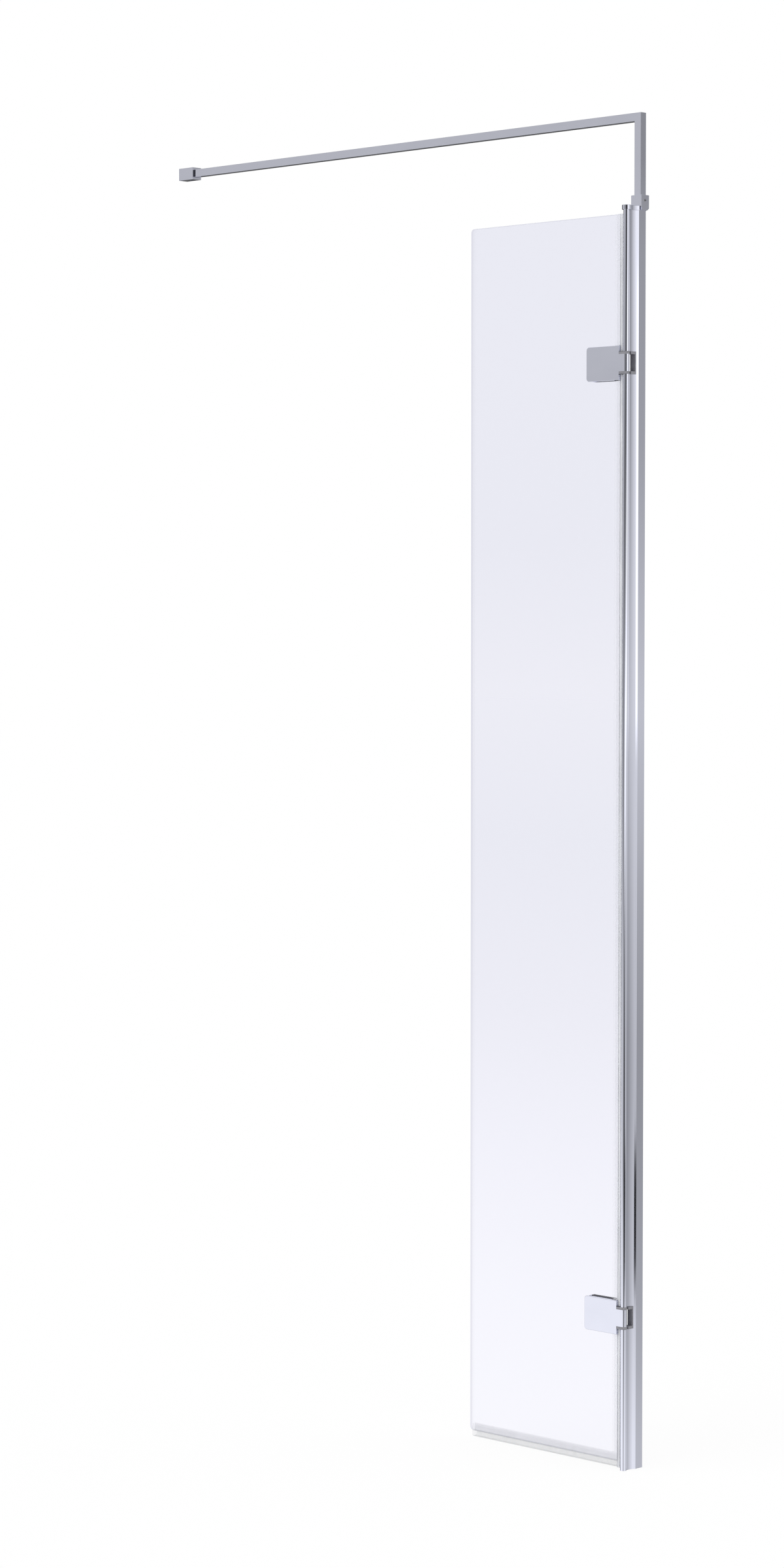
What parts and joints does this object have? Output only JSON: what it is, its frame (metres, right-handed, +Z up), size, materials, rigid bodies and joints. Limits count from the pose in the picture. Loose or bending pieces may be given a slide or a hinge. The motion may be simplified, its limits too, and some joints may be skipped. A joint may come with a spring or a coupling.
{
  "type": "hinged wetroom screen",
  "caption": "Hinged wetroom screen: a narrow glass door on a bright post with concave sides, clear seals, and a square support arm from the post top to a wall bracket.",
  "frame": {"origin": "on the door's hinge axis, at the foot of the post", "axes": "+Z up along the hinge axis, -X along the door and the support arm to the wall, +Y into the run of the fixed glass"},
  "size_m": [1.005, 0.0455, 1.9891],
  "materials": {
    "bright_aluminium": "polished to a chrome look",
    "chrome": "polished chrome plate",
    "steel": "plain stainless steel",
    "clear_glass": "clear toughened glass with arrised edges",
    "clear_seal": "clear flexible seal",
    "grey_nylon": "moulded grey nylon",
    "gasket": "pale clamping gasket"
  },
  "bodies": {
    "post": {"post_profile": "bright_aluminium", "post_top_cap": "chrome", "bar_clamp": "chrome", "bar_clamp_fixing_screw": "steel", "bar_clamp_grub_screw": "steel", "support_arm": "chrome", "wall_bracket": "chrome", "wall_bracket_grub_screw": "steel", "hinge_liner_upper": "grey_nylon", "hinge_liner_lower": "grey_nylon", "hinge_pin_upper": "steel", "hinge_pin_lower": "steel"},
    "door": {"door_glass": "clear_glass", "bottom_seal": "clear_seal", "side_seal_top": "clear_seal", "side_seal_middle": "clear_seal", "side_seal_bottom": "clear_seal", "hinge_spacers_upper": "grey_nylon", "hinge_leaf_upper": "chrome", "hinge_rear_plate_upper": "chrome", "hinge_screws_upper": "steel", "hinge_front_gasket_upper": "gasket", "hinge_rear_gasket_upper": "gasket", "hinge_bush_upper": "gasket", "hinge_spacers_lower": "grey_nylon", "hinge_leaf_lower": "chrome", "hinge_rear_plate_lower": "chrome", "hinge_screws_lower": "steel", "hinge_front_gasket_lower": "gasket", "hinge_rear_gasket_lower": "gasket", "hinge_bush_lower": "gasket"}
  },
  "joints": [
    {"name": "door_swing", "type": "hinge", "parent": "post", "child": "door", "pos_m": [0, 0, 0], "axis": [0, 0, 1], "range_deg": [0, 180]}
  ]
}
